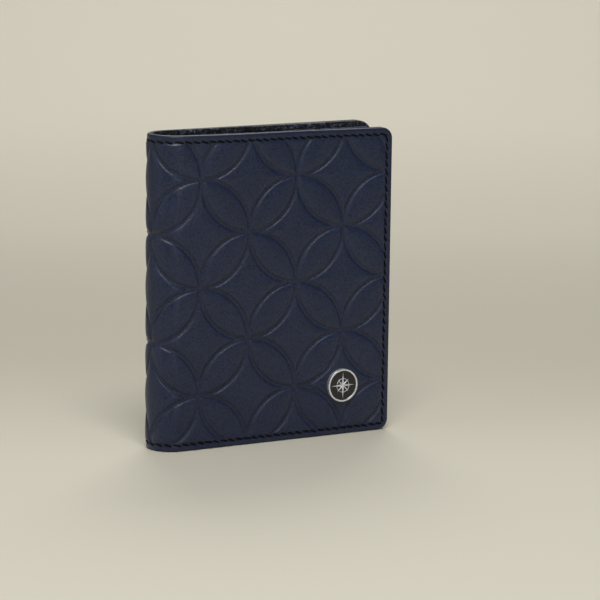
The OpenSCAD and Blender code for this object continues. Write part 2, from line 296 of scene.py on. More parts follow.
def makeLights():
    # soft boxes aimed at the middle of the holder, and an even pale room
    aim = Vector(studio["aim"])
    for name, spot, size, power in studio["boxes"]:
        data = bpy.data.lights.new(name, "AREA")
        data.shape = "DISK"
        data.size = size
        data.energy = power
        lamp = bpy.data.objects.new(name, data)
        lamp.location = viewSpin @ Vector(spot)
        lamp.rotation_mode = "QUATERNION"
        lamp.rotation_quaternion = (lamp.location - aim).to_track_quat("Z", "Y")
        bpy.context.scene.collection.objects.link(lamp)
    world = bpy.data.worlds.new("room")
    world.use_nodes = True
    world.node_tree.nodes.clear()
    shade = addNode(world.node_tree, "ShaderNodeBackground",
                    {"Color": linearColour(studio["room"]), "Strength": studio["roomPower"]})
    addNode(world.node_tree, "ShaderNodeOutputWorld", {"Surface": shade.outputs[0]})
    bpy.context.scene.world = world


bpy.context.scene.view_settings.view_transform = "Standard"
makeCamera()
makePaper()
makeLights()
print("camera, paper and lights made")


def scaled(tree, source, size):
    # coordinates in which one unit is the given real length in mm
    return addNode(tree, "ShaderNodeMapping", {"Vector": source, "Scale": (1 / (size * mm),) * 3}).outputs[0]


def mixTones(tree, factor, first, second):
    # a colour between two, each a hex text or a link
    mix = addNode(tree, "ShaderNodeMix", {"Factor": factor}, data_type="RGBA")
    for socket, tone in ((6, first), (7, second)):
        if isinstance(tone, str):
            mix.inputs[socket].default_value = linearColour(tone)
        else:
            tree.links.new(tone, mix.inputs[socket])
    return mix.outputs[2]


def spread(tree, value, low, high, newLow, newHigh):
    # carries the range low to high over to newLow to newHigh
    return addNode(tree, "ShaderNodeMapRange", {"Value": value, "From Min": low, "From Max": high,
                                                "To Min": newLow, "To Max": newHigh}).outputs[0]


# where most values of a noise lie, and of the sum of a noise and a distance to pebbles
noiseRange = (0.3, 0.7)
cloudRange = (0.35, 0.7)
grainRange = (0.65, 1.3)
# the crease noise's values over which the painted highlight specks come in
foldRange = (0.53, 0.63)
roughShares = (0.75, 1.3)  # of a solid's roughness


def leatherMaterial(name, look):
    # Calf leather, drum dyed, pressed with a hot plate and waxed: fine pebbles, drawn coarser than real
    # ones so that they show, a soft broad sheen, and faint clouds where the dye took unevenly.
    material, tree = newMaterial(name)
    flat = addNode(tree, "ShaderNodeUVMap", uv_map="flat").outputs[0]
    pebble = addNode(tree, "ShaderNodeTexVoronoi", {"Vector": scaled(tree, flat, look["grain"]), "Scale": 1.0},
                     feature="SMOOTH_F1")
    crease = addNode(tree, "ShaderNodeTexNoise", {"Vector": scaled(tree, flat, look["grain"] * 1.3),
                                                 "Scale": 1.0, "Detail": 5.0, "Roughness": 0.65})
    cloud = addNode(tree, "ShaderNodeTexNoise", {"Vector": scaled(tree, flat, look["cloud"]), "Scale": 1.0,
                                                "Detail": 3.0})
    height = addNode(tree, "ShaderNodeMath", {0: pebble.outputs["Distance"], 1: crease.outputs["Fac"]},
                     operation="ADD")
    bump = addNode(tree, "ShaderNodeBump", {"Height": height.outputs[0], "Distance": look["grainHeight"] * mm,
                                           "Strength": 0.6})
    tone = mixTones(tree, spread(tree, cloud.outputs["Fac"], *cloudRange, 0.0, 1.0), look["colour"], look["cloudy"])
    grainy = mixTones(tree, spread(tree, height.outputs[0], *grainRange, 0.0, 1.0), tone, look["deep"])
    # painted shade in the emboss lines and the seam's channel, and the dark paint on the edges, go to the deep
    # colour
    shadeAndEdgePaint = addNode(tree, "ShaderNodeAttribute", attribute_name="shadeAndEdgePaint")
    colour = mixTones(tree, shadeAndEdgePaint.outputs["Fac"], grainy, look["deep"])
    rough = spread(tree, crease.outputs["Fac"], *noiseRange, look["roughness"] - look["uneven"],
                   look["roughness"] + look["uneven"])
    shader = addNode(tree, "ShaderNodeBsdfPrincipled", {"Base Color": colour, "Roughness": rough,
                                                       "Normal": bump.outputs[0], "IOR": look["ior"],
                                                       "Specular IOR Level": look["gloss"]})
    addNode(tree, "ShaderNodeOutputMaterial", {"Surface": shader.outputs[0]})
    return material


def creasedMaterial(name, look):
    # Thin split leather, glazed and glued down, with fine creases; the creases' tops are painted in the light tone,
    # as highlight specks.
    material, tree = newMaterial(name)
    flat = addNode(tree, "ShaderNodeUVMap", uv_map="flat").outputs[0]
    folds = addNode(tree, "ShaderNodeTexNoise", {"Vector": scaled(tree, flat, look["crease"]), "Scale": 1.0,
                                                "Detail": 6.0, "Roughness": 0.68, "Distortion": 1.4})
    bump = addNode(tree, "ShaderNodeBump", {"Height": folds.outputs["Fac"], "Distance": look["creaseHeight"] * mm,
                                           "Strength": 0.8})
    paintedSpecks = spread(tree, folds.outputs["Fac"], *foldRange, 0.0, 1.0)
    tone = mixTones(tree, paintedSpecks, look["colour"], look["light"])
    # in creases and seams the specks give way to the plain dark colour: painted shade
    shadeAndEdgePaint = addNode(tree, "ShaderNodeAttribute", attribute_name="shadeAndEdgePaint")
    colour = mixTones(tree, shadeAndEdgePaint.outputs["Fac"], tone, look["colour"])
    shader = addNode(tree, "ShaderNodeBsdfPrincipled", {"Base Color": colour, "Roughness": look["roughness"],
                                                       "Normal": bump.outputs[0],
                                                       "Specular IOR Level": look["gloss"]})
    addNode(tree, "ShaderNodeOutputMaterial", {"Surface": shader.outputs[0]})
    return material


def threadMaterial(name, look):
    # Bonded polyester of three twisted plies, waxed on the outside seam. The plies are drawn coarser than
    # the real ones, so that they show.
    material, tree = newMaterial(name)
    flat = addNode(tree, "ShaderNodeUVMap", uv_map="flat").outputs[0]
    plies = addNode(tree, "ShaderNodeTexWave", {"Vector": scaled(tree, flat, look["ply"]), "Scale": 0.32,
                                               "Distortion": 0.4}, bands_direction="DIAGONAL")
    bump = addNode(tree, "ShaderNodeBump", {"Height": plies.outputs["Fac"], "Distance": look["plyHeight"] * mm,
                                           "Strength": 0.7})
    tone = mixTones(tree, plies.outputs["Fac"], look["colour"], look["light"])
    shader = addNode(tree, "ShaderNodeBsdfPrincipled", {"Base Color": tone, "Roughness": look["roughness"],
                                                       "Normal": bump.outputs[0],
                                                       "Specular IOR Level": look["gloss"]})
    addNode(tree, "ShaderNodeOutputMaterial", {"Surface": shader.outputs[0]})
    return material


def solidMaterial(name, look):
    # A solid stock on Object coordinates, with one noise that tints, roughens and ripples it: the plating
    # has a fine unevenness, drawn coarser than it is, fired hard enamel a faint ripple, and rolled fibre
    # board short fibres.
    material, tree = newMaterial(name)
    source = addNode(tree, "ShaderNodeTexCoord").outputs["Object"]
    noise = addNode(tree, "ShaderNodeTexNoise", {"Vector": scaled(tree, source, look["size"]), "Scale": 1.0,
                                                "Detail": look["detail"]})
    bump = addNode(tree, "ShaderNodeBump", {"Height": noise.outputs["Fac"], "Distance": look["height"] * mm,
                                           "Strength": 0.4})
    tone = mixTones(tree, spread(tree, noise.outputs["Fac"], *noiseRange, 0.0, 1.0), look["colour"], look["light"])
    rough = spread(tree, noise.outputs["Fac"], *noiseRange, *(look["roughness"] * share for share in roughShares))
    shader = addNode(tree, "ShaderNodeBsdfPrincipled", {"Base Color": tone, "Roughness": rough,
                                                       "Metallic": look["metallic"], "Normal": bump.outputs[0]})
    addNode(tree, "ShaderNodeOutputMaterial", {"Surface": shader.outputs[0]})
    return material


calf = leatherMaterial("embossed calf leather", {
    "colour": "#1f2b48", "cloudy": "#232f4d", "deep": "#0b142a", "grain": 0.62, "cloud": 16.0,
    "roughness": 0.38, "uneven": 0.07, "grainHeight": 0.14, "gloss": 0.46, "ior": 1.48})
# the split leather's light tone is a painted highlight on the creases' tops
split = creasedMaterial("glazed split leather", {
    "colour": "#03060c", "light": "#657089", "crease": 1.7, "creaseHeight": 1.2, "roughness": 0.3, "gloss": 0.35})
thread = threadMaterial("waxed polyester thread", {
    "colour": "#020307", "light": "#070a12", "ply": 0.45, "plyHeight": 0.1, "roughness": 0.6, "gloss": 0.12})
# the inside seams' thread is the same thread as outside; its lighter tones are painted highlights, the light specks
# on the inside stitches
highlightTonedThread = threadMaterial("polyester thread toned as highlights", {
    "colour": "#262e40", "light": "#5a647a", "ply": 0.45, "plyHeight": 0.1, "roughness": 0.5, "gloss": 0.5})
nickel = solidMaterial("polished nickel plate", {
    "colour": "#e6e9ef", "light": "#f5f7fb", "size": 0.35, "detail": 3.0, "height": 0.01, "roughness": 0.3,
    "metallic": 1.0})
satin = solidMaterial("satin nickel plate", {
    "colour": "#e2e4e8", "light": "#f1f2f5", "size": 0.3, "detail": 4.0, "height": 0.03, "roughness": 0.5,
    "metallic": 1.0})
steel = solidMaterial("plain steel", {
    "colour": "#8e8e8c", "light": "#a8a8a5", "size": 0.4, "detail": 4.0, "height": 0.02, "roughness": 0.4,
    "metallic": 1.0})
enamel = solidMaterial("black hard enamel", {
    "colour": "#0b0c10", "light": "#14161b", "size": 1.6, "detail": 1.0, "height": 0.03, "roughness": 0.2,
    "metallic": 0.0})
fibreBoard = solidMaterial("grey fibre board", {
    "colour": "#766b5d", "light": "#9a8f80", "size": 0.7, "detail": 6.0, "height": 0.08, "roughness": 0.8,
    "metallic": 0.0})
print("materials made")


emboss = {
    # millimetres
    "radius": 24.0,  # of every circle, and half the distance between two in a row
    "startS": 8.15,  # a place where four petals meet, along the cover
    "startZ": 24.3,  # and above the bottom edge
    "lineWidth": 1.75,
    "slope": 0.7,
    "depth": 0.48,
    "puff": 0.55,  # how far the middle of a petal swells
    "puffWidth": 2.0,
    "rim": 3.75,  # plain band inside the edge
    "rimFade": 0.45,
    "edgeRadius": 1.0,
    "edgePaint": (0.3, 1.1),  # full up to the first distance from the edge, and gone at the second
    "seamCorner": 2.0,
    "seamDepth": 0.24,
    "seamWidth": 0.5,
    # lines and seams go to the deep colour as painted shade, painted edges as their real dark paint
    "lineShade": 0.15,  # how far lines, seams and painted edges go to the deep colour, from 0 to 1
    "seamShade": 0.7,
    "paintShade": 0.6,
    "step": 0.43,  # of the mesh
}


def circleDistance(s, z):
    # Distance in mm to the nearest circle of the lattice. The circles are centred where i + j is odd;
    # every cell is folded onto the one with a meeting point at its corner, and four circles are tried.
    x = (s - emboss["startS"]) / emboss["radius"]
    y = (z - emboss["startZ"]) / emboss["radius"]
    i, j = np.floor(x), np.floor(y)
    x, y = x - i, y - j
    x = np.where((i + j) % 2 == 1, 1 - x, x)
    far = x + y > 1
    x, y = np.where(far, 1 - x, x), np.where(far, 1 - y, y)
    rings = [np.abs(np.hypot(x - a, y - b) - 1) for a, b in ((1, 0), (0, 1), (-1, 0), (0, -1))]
    return np.minimum.reduce(rings) * emboss["radius"]


def cornerRadius(s):
    # the two covers have different corners
    return np.where(s > -arcLength / 2, holder["frontCorner"], holder["backCorner"])


def toFreeEdge(s):
    # length that is left up to the free edge of the cover that s lies on
    return np.where(s > -arcLength / 2, holder["length"] - s, s + arcLength + holder["length"])


def edgeDistance(s, z):
    # distance in mm to the leather's outline, with round corners at the free edges
    radius, side = cornerRadius(s), toFreeEdge(s)
    end = np.minimum(z, top - z)
    corner = radius - np.hypot(radius - side, radius - end)
    return np.where((side < radius) & (end < radius), corner, np.minimum(side, end))


def outlineLimits(s):
    # lowest and highest z of the leather at the length s: r - sqrt(r^2 - (r - t)^2) in a corner
    radius = cornerRadius(s)
    low = radius - np.sqrt(np.maximum(radius ** 2 - np.maximum(radius - toFreeEdge(s), 0) ** 2, 0))
    return low, top - low


def seamDistance(s, z):
    # distance in mm to the seam's line: a rounded rectangle, whose distance is |(x, y) - box| - r
    inset, radius = holder["seamInset"], emboss["seamCorner"]
    middle = -arcLength / 2
    across = np.abs(s - middle) - (holder["length"] - middle - inset - radius)
    up = np.abs(z - top / 2) - (top / 2 - inset - radius)
    outside = np.hypot(np.maximum(across, 0), np.maximum(up, 0)) + np.minimum(np.maximum(across, up), 0)
    return np.abs(outside - radius)


def coverRelief(s, z, mouth):
    # (how deep the outer face lies in mm, how far it goes to the deep colour from 0 to 1: painted shade in the
    # lines and the seam's channel, and the real dark paint on the edges). Lines are flat bottomed with soft sides,
    # and the leather between them swells by 1 - exp(-d / w).
    distance = circleDistance(s, z)
    half, slope = emboss["lineWidth"] / 2, emboss["slope"] / 2
    line = 1 - smoothStep(half - slope, half + slope, distance)
    swell = 1 - np.exp(-np.maximum(distance - half, 0) / emboss["puffWidth"])
    inside = smoothStep(emboss["rim"], emboss["rim"] + emboss["rimFade"], edgeDistance(s, z))
    seam = np.exp(-(seamDistance(s, z) / emboss["seamWidth"]) ** 2)
    depth = inside * (emboss["depth"] * line - emboss["puff"] * swell) + emboss["seamDepth"] * seam
    painted = emboss["paintShade"] * (1 - smoothStep(*emboss["edgePaint"], edgeDistance(s, z)))
    return depth, np.maximum.reduce([emboss["lineShade"] * line * inside, emboss["seamShade"] * seam, painted])


insideLook = {
    # millimetres; the pockets' leather and the lining
    "creaseAt": 1.2,
    "creaseWidth": 0.3,
    "creaseDepth": 0.1,
    "seamWidth": 0.7,
    "seamDepth": 0.16,
    "liningSeamDepth": 0.1,
    "wave": 0.05,
    "waveS": 9.0,
    "waveZ": 13.0,
    "wavePhase": 0.6,
    # how far the crease and the seam's channel are painted darker, as shade
    "creaseShade": 0.6,
    "seamShade": 0.8,
}


def panelRelief(s, z, mouth):
    # a pocket's panel: a pressed crease beside its open edge, a shallow channel under the seam, and soft waves,
    # sin(s) sin(z), where it isn't glued down; the crease and the channel are painted darker, as shade
    crease = np.exp(-((mouth - insideLook["creaseAt"]) / insideLook["creaseWidth"]) ** 2)
    seam = np.exp(-(seamDistance(s, z) / insideLook["seamWidth"]) ** 2)
    wave = np.sin(s / insideLook["waveS"] + insideLook["wavePhase"]) * np.sin(z / insideLook["waveZ"])
    soft = insideLook["wave"] * wave
    return (insideLook["creaseDepth"] * crease + insideLook["seamDepth"] * seam + soft,
            np.maximum(insideLook["creaseShade"] * crease, insideLook["seamShade"] * seam))


def plainRelief(s, z, mouth):
    # only the seam's shallow channel, painted darker as shade
    seam = np.exp(-(seamDistance(s, z) / insideLook["seamWidth"]) ** 2)
    return insideLook["liningSeamDepth"] * seam, insideLook["seamShade"] * seam


sheet = {
    # distances in mm from an edge at which a sheet has rows of points, for fine and for coarse meshes
    "fine": (0, 0.1, 0.3, 0.6, 1.0, 1.5, 2.0, 2.4, 2.7, 3.0, 3.3, 3.65),
    "coarse": (0, 0.12, 0.3, 0.7, 1.2, 1.7, 2.4, 3.0, 3.6),
    "lip": 0.7,  # up to here the face that isn't worked has the same rows
    "plainStep": 14.0,  # and then a row at about every such distance
    "beyond": 0.1,  # how far past a joined end its normals reach
    "least": 0.2,  # height of the lowest column that is kept
    "most": 0.4,  # share of a sheet's height that the rows at one edge may take up
    "unbounded": 99.0,
    "otherFace": 400.0,  # between the two faces' places in the texture
    "lips": (0.1, 0.3, 0.6),  # distances of columns from a free end
    "cornerSteps": 12,  # at least as many columns round a corner
    "closer": 1.5,  # how many times as close as the others they are
    "tip": 0.004,
    "liningStep": 2.0,
    "boardStep": 4.0,
    "boardRoom": 0.05,
}


def halfRound(t, radius):
    # how far a face drops at a half-round edge, at the distance t from it: r - sqrt(r^2 - (r - t)^2)
    t = np.clip(t, 0, radius)
    return radius - np.sqrt(np.maximum(radius ** 2 - (radius - t) ** 2, 0))


def shell(columns, lowEnd, highEnd, outer, deep, step, relief, worked, radius=None, openStart=None,
          joined=(False, False)):
    # A closed sheet of leather swept along s, between the depths outer and deep. Each ring runs up its
    # worked face and down the other one, z = low + share * (high - low), and both faces drop into a
    # half-round edge. openStart is the u of a free edge on the spine's side, where u is the length along
    # a cover, and joined tells which ends go on in another piece.
    radius = (deep - outer) / 2 if radius is None else radius
    span = highEnd - lowEnd
    near = np.array(sheet["fine"] if step < 1 else sheet["coarse"])
    near = near[near < span * sheet["most"]]
    middle = np.linspace(near[-1], span - near[-1], max(2, int((span - 2 * near[-1]) / step)))
    rows = np.concatenate([near[:-1], middle, span - near[:-1][::-1]]) / span
    lip = near[(near > 0) & (near < sheet["lip"])]
    first = min(sheet["lip"], span * sheet["most"])
    plain = np.linspace(first, span - first, max(2, int(span / sheet["plainStep"])))
    others = (np.concatenate([lip, plain, span - lip[::-1]]) / span)[::-1]
    before = columns[:1] - sheet["beyond"] if joined[0] else columns[:0]
    after = columns[-1:] + sheet["beyond"] if joined[1] else columns[:0]
    wide = np.concatenate([before, columns, after])
    low, high = outlineLimits(wide)
    low, high = np.maximum(low, lowEnd), np.minimum(high, highEnd)
    inside = high - low > sheet["least"]
    wide, low, high = wide[inside], low[inside], high[inside]
    z = low[:, None] + np.concatenate([rows, others])[None, :] * (high - low)[:, None]
    s = np.broadcast_to(wide[:, None], z.shape)
    onWorked = np.broadcast_to(np.arange(z.shape[1]) < len(rows), z.shape)
    mouth = np.full(z.shape, sheet["unbounded"])
    if openStart is not None:
        u = s if wide[0] > -arcLength / 2 else -arcLength - s
        mouth = np.minimum(mouth, u - openStart)
    if highEnd < top:
        mouth = np.minimum(mouth, highEnd - z)
    if lowEnd > 0:
        mouth = np.minimum(mouth, z - lowEnd)
    sunk, shadeAndEdgePaint = relief(s, z, mouth)
    sunk, shadeAndEdgePaint = np.where(onWorked, sunk, 0), np.where(onWorked, shadeAndEdgePaint, 0)
    drop = halfRound(np.minimum(edgeDistance(s, z), mouth), radius) + sunk
    depth = np.where(onWorked == (worked == "outer"), outer + drop, deep - drop)
    points = place(s, z, depth)
    ahead = np.concatenate([points[1:], points[-1:]]) - np.concatenate([points[:1], points[:-1]])
    normals = np.cross(np.roll(points, -1, 1) - np.roll(points, 1, 1), ahead)
    normals /= np.maximum(np.linalg.norm(normals, axis=-1, keepdims=True), 1e-12)
    keep = slice(len(before), len(wide) - len(after))
    uv = np.stack([s + np.where(onWorked, 0, sheet["otherFace"]), z], -1) * mm
    part = {"points": points[keep], "uv": uv[keep], "shadeAndEdgePaint": shadeAndEdgePaint[keep],
            "faces": tubeFaces(*points[keep].shape[:2])}
    if joined[0] or joined[1]:
        part["normals"] = normals[keep]
    return turnedOut(part)


def coverColumns(side, start, step, end):
    # lengths along a cover: even steps, and where it runs to the free edge, sine steps round the corner
    length, radius = holder["length"], holder[side + "Corner"]
    lips = np.array(sheet["lips"])
    if end is None:
        even = np.linspace(start, length - radius, max(2, int((length - radius - start) / step)))
        count = max(sheet["cornerSteps"], int(radius / step * sheet["closer"]))
        turn = np.linspace(0, math.pi / 2, count)[1:]
        corner = length - radius + radius * np.sin(turn)
        u = np.concatenate([even, corner[corner < length - 1.5 * lips[-1]], length - lips, start + lips,
                            [length - sheet["tip"]]])
    else:
        even = np.linspace(start, end, max(3, int((end - start) / step)))
        u = np.concatenate([even, start + lips[:2], end - lips[:2]])
    u = np.unique(np.round(u[u >= start], 4))
    return u if side == "front" else (-arcLength - u)[::-1]


def coverShell(side, start, lowEnd, highEnd, outer, deep, step, end=None, relief=plainRelief, worked="inner",
               openStart="start", **more):
    # a shell on one cover, from the length start up to its free edge or to end
    openStart = start if openStart == "start" else openStart
    return shell(coverColumns(side, start, step, end), lowEnd, highEnd, outer, deep, step, relief, worked,
                 openStart=openStart, **more)


def blendFold(piece, k, deepest, slot, *nodes):
    # Fold k of the spine reaches from the middle of one body to the middle of the next. The ends on its inside are
    # worked out but not used: the piece only has its place baked into its points and stands for CAD nodes, and slot
    # is not used.
    start = -arcLength + (k - 1) * foldLength
    ends = [Vector(place(s, 0.0, deepest).tolist()) for s in (start, start + foldLength)]
    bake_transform(piece)
    if nodes:
        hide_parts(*nodes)


def foldShell(k, outer, deep, step, relief, worked, radius=None):
    # the k-th quarter of the spine, with columns close to both of its joined ends
    start = -arcLength + (k - 1) * foldLength
    even = np.linspace(start, start + foldLength, int(foldLength / step) + 2)
    ends = [start + sheet["beyond"], start + foldLength - sheet["beyond"]]
    columns = np.unique(np.round(np.concatenate([even, ends]), 5))
    return shell(columns, 0.0, top, outer, deep, step, relief, worked, radius=radius, joined=(True, True))


for side in ("front", "back"):
    join = (side == "front", side == "back")
    part = coverShell(side, 0.0, 0.0, top, 0.0, foldDepth, emboss["step"], relief=coverRelief, worked="outer",
                      radius=emboss["edgeRadius"], openStart=None, joined=join)
    finishPiece(makePiece(side + "CoverLeather", [part], calf), side + "_cover", "outer_leather", side + "_leather")
    part = coverShell(side, 0.0, 0.0, top, foldDepth, shellDepth, sheet["liningStep"], openStart=None, joined=join)
    finishPiece(makePiece(side + "CoverLining", [part], split), side + "_cover", "lining_fabric", side + "_lining")

turnIn, room = holder["turnIn"], sheet["boardRoom"]
part = coverShell("front", turnIn, turnIn, top - turnIn, holder["leather"] + room, foldDepth - room,
                  sheet["boardStep"], end=holder["length"] - turnIn)
finishPiece(makePiece("frontBoard", [part], fibreBoard), "front_cover", "cover_board", "front_board")

for k in range(1, 5):
    outside = makePiece(f"spineLeather{k}", [foldShell(k, 0.0, foldDepth, emboss["step"], coverRelief, "outer",
                                                       emboss["edgeRadius"])], calf)
    inside = makePiece(f"spineLining{k}", [foldShell(k, foldDepth, shellDepth, sheet["liningStep"], plainRelief,
                                                     "inner")], split)
    blendFold(outside, k, foldDepth, "outer_leather", *([f"spine_leather_{k}"] if k < 4 else []))
    blendFold(inside, k, shellDepth, "lining_fabric", *([f"spine_lining_{k}"] if k < 4 else []))
print("outer leather and lining made")


pockets = {
    "start": 10.0,
    "gap": 0.8,
    "panel": 0.7,
    "sleeveGap": 1.0,
    "sleeveStart": 43.0,
    "cardGap": 0.8,
    "cardPanel": 0.6,
    "cardTops": (96.0, 78.0, 60.0),
    "cardDepth": 46.0,
    "floor": 2.0,
    "turned": 4.0,
    "apart": 0.05,  # between two edge pieces of one pocket
    "step": 1.1,  # of the panels' meshes, and then of the pieces along, up and under a pocket
    "alongStep": 1.5,
    "upStep": 3.0,
    "floorStep": 6.0,
}
pocketDepth = pockets["gap"] + pockets["panel"]
sleeveDepth = pockets["sleeveGap"] + pockets["panel"]
cardStep = pockets["cardGap"] + pockets["cardPanel"]


def turnedEdges(side, start, outer, deep):
    # the leather that is turned in at the top, the bottom and the free side of a large pocket
    w = pockets["turned"]
    free = holder["length"] - w
    apart = pockets["apart"]
    return [coverShell(side, start, 0.0, w, outer, deep, pockets["alongStep"]),
            coverShell(side, start, top - w, top, outer, deep, pockets["alongStep"]),
            coverShell(side, free, w + apart, top - w - apart, outer, deep, pockets["upStep"])]


def cardEdges(start, high, outer, deep):
    # the stitched sides of a card slot and the strip that closes its floor
    w, apart = pockets["turned"], pockets["apart"]
    floor = high - pockets["cardDepth"] - pockets["floor"]
    return [coverShell("front", start, 0.0, high, outer, deep, pockets["upStep"], end=start + w),
            coverShell("front", holder["length"] - w, 0.0, high, outer, deep, pockets["upStep"]),
            coverShell("front", start + w + apart, floor, floor + pockets["floor"], outer, deep,
                       pockets["floorStep"], end=holder["length"] - w - apart)]


large = (
    # side, its first length, how deep the space under it starts and how wide that is, its name and CAD node
    ("back", pockets["start"], shellDepth, pockets["gap"], "documentPocket", "document_pocket"),
    ("back", pockets["sleeveStart"], shellDepth + pocketDepth, pockets["sleeveGap"], "passportSleeve",
     "passport_sleeve"),
    ("front", pockets["start"], shellDepth, pockets["gap"], "slipPocket", "slip_pocket"),
)
for side, start, under, gap, name, node in large:
    part = coverShell(side, start, 0.0, top, under + gap, under + gap + pockets["panel"], pockets["step"],
                      relief=panelRelief)
    finishPiece(makePiece(name, [part], split), side + "_cover", "pocket_leather", node)
    finishPiece(makePiece(name + "TurnedEdge", turnedEdges(side, start, under, under + gap), split),
                side + "_cover", "pocket_leather", node + "_turned_edge")

for k, high in enumerate(pockets["cardTops"], 1):
    under = shellDepth + pocketDepth + (k - 1) * cardStep
    face = under + pockets["cardGap"]
    part = coverShell("front", pockets["start"], 0.0, high, face, face + pockets["cardPanel"], pockets["step"],
                      relief=panelRelief)
    finishPiece(makePiece(f"cardSlot{k}", [part], split), "front_cover", "pocket_leather", f"card_slot_{k}")
    finishPiece(makePiece(f"cardSlot{k}Edges", cardEdges(pockets["start"], high, under, face), split),
                "front_cover", "pocket_leather", f"card_slot_{k}_edges")
print("pockets made")


stitchLook = {
    "pitch": 3.8,
    "length": 4.4,
    "thread": 0.8,
    "slant": math.radians(19),
    "sunk": 0.16,  # how deep the outer thread's middle lies, in its channel
    "proud": 0.12,  # how far the inner thread's middle stands out of the panel
    "uneven": 0.1,  # how far a hand-fed seam strays, in radians of slant and in mm across
    "reach": 0.985,  # share of the half length up to the first and the last ring
    "dive": 0.22,  # how deep a thread's ends go
    "rings": 7,
    "sides": 8,
}


def stitches(s, z, direction, depth, outwards=1):
    # Threads at the flat places (s, z), each a tube whose radius follows sqrt(1 - t^4) along its length
    # and whose ends dive into the leather as t^4, and all are bent onto the holder at once. Thread k
    # strays by sin(2.4 k + 1.3 sin k), which never repeats.
    t = np.linspace(-stitchLook["reach"], stitchLook["reach"], stitchLook["rings"])[None, :, None]
    turn = np.linspace(0, 2 * math.pi, stitchLook["sides"], endpoint=False)[None, None, :]
    s, z, direction, depth = (v[:, None, None] for v in np.broadcast_arrays(s, z, direction, depth))
    k = np.arange(s.size)[:, None, None]
    stray = stitchLook["uneven"] * np.sin(2.4 * k + 1.3 * np.sin(k))
    s, z = s - stray * np.sin(direction), z + stray * np.cos(direction)
    direction = direction + stray
    radius = stitchLook["thread"] / 2 * np.sqrt(1 - t ** 4)
    along = t * stitchLook["length"] / 2
    across = radius * np.cos(turn)
    lift = radius * np.sin(turn) - stitchLook["dive"] * t ** 4
    flatS = s + along * np.cos(direction) - across * np.sin(direction)
    flatZ = z + along * np.sin(direction) + across * np.cos(direction)
    points = place(flatS, flatZ, depth - outwards * lift)
    uv = np.stack(np.broadcast_arrays(along + 0 * turn, turn * stitchLook["thread"] / 2 + 0 * along), -1)[0] * mm
    faces = tubeFaces(stitchLook["rings"], stitchLook["sides"])
    return [turnedOut({"points": each, "uv": uv, "faces": faces}) for each in points]


def evenly(low, high):
    # the middles of the n stitches that fill low to high, low + (k + 1/2) (high - low) / n
    count = int(round((high - low) / stitchLook["pitch"]))
    return low + (np.arange(count) + 0.5) * (high - low) / count


def insideDepth(side, u, z):
    # how deep the inner face lies at a stitch: the shell and every pocket layer that the stitch touches
    reach = (stitchLook["length"] + stitchLook["thread"]) / 2
    depth = shellDepth + np.where(u + reach > pockets["start"], pocketDepth, 0)
    if side == "front":
        for high in pockets["cardTops"]:
            depth = depth + np.where((u + reach > pockets["start"]) & (z - reach < high), cardStep, 0)
    else:
        depth = depth + np.where(u + reach > pockets["sleeveStart"], sleeveDepth, 0)
    return depth + stitchLook["proud"]


for side in ("front", "back"):
    # along the top, along the bottom and down the free edge; each slants from the upper left outside
    inset = holder["seamInset"]
    across, down = evenly(0, holder["length"] - inset), evenly(inset, top - inset)
    u = np.concatenate([across, across, 0 * down + holder["length"] - inset])
    z = np.concatenate([0 * across + top - inset, 0 * across + inset, down])
    tilt = np.concatenate([0 * across, 0 * across, 0 * down - math.pi / 2])
    slant = stitchLook["slant"] * np.where(tilt == 0, -1, 1)
    s = u if side == "front" else -arcLength - u
    finishPiece(makePiece(side + "SeamOutside", stitches(s, z, tilt + slant, stitchLook["sunk"]), thread),
                side + "_cover", "thread", side + "_seam_outside")
    finishPiece(makePiece(side + "SeamInside", stitches(s, z, tilt, insideDepth(side, u, z), -1), highlightTonedThread),
                side + "_cover", "thread", side + "_seam_inside")
    rows = []
    for start in [pockets["start"]] + ([pockets["sleeveStart"]] if side == "back" else []):
        v = evenly(2 * inset, top - 2 * inset)
        u = start + inset + 0 * v
        s = u if side == "front" else -arcLength - u
        rows += stitches(s, v, math.pi / 2, insideDepth(side, u, v), -1)
    finishPiece(makePiece(side + "PocketStitching", rows, highlightTonedThread), side + "_cover", "thread",
                side + "_pocket_stitching")

for k in range(1, 5):
    # two at the bottom and two at the top of each quarter, on both faces
    s = -arcLength + (k - 1 + np.array([0.25, 0.75, 0.25, 0.75])) * foldLength
    z = np.array([holder["seamInset"]] * 2 + [top - holder["seamInset"]] * 2)
    rows = stitches(s, z, -stitchLook["slant"], stitchLook["sunk"])
    rows += stitches(s, z, 0.0, shellDepth + stitchLook["proud"], -1)
    blendFold(makePiece(f"spineSeam{k}", rows, thread), k, shellDepth, "thread",
              *([f"spine_seam_{k}"] if k < 4 else []))
print("stitches made")


medal = {
    # millimetres
    "u": 80.0,  # along the front cover
    "z": 23.0,
    "radius": 7.5,
    "height": 2.1,
    "recess": 0.5,
    "rim": 0.8,
    "bevel": 0.14,
    "sink": 0.1,  # how far parts go under the faces that they stand on
    "lean": (0.02, 0.03),  # how far the wall leans in under the rim and at it, and its foot stands up
    "enamel": 0.25,
    "postRadius": 1.0,
    "postDepth": 1.7,
    "postTop": 0.4,
    "rose": ((5.9, 0.95, 0.0), (4.0, 0.76, 0.04)),  # long and short points: length, shoulder, how much lower
    "waist": 0.55,  # half a point's width, as a share of its shoulder
    "ridge": 0.3,
    "tipRidge": 0.08,
    "ringRadius": 3.1,
    "ringThread": 0.16,
    "sides": 96,  # of everything that is round
    "ringSides": 8,
    "postSides": 32,
}


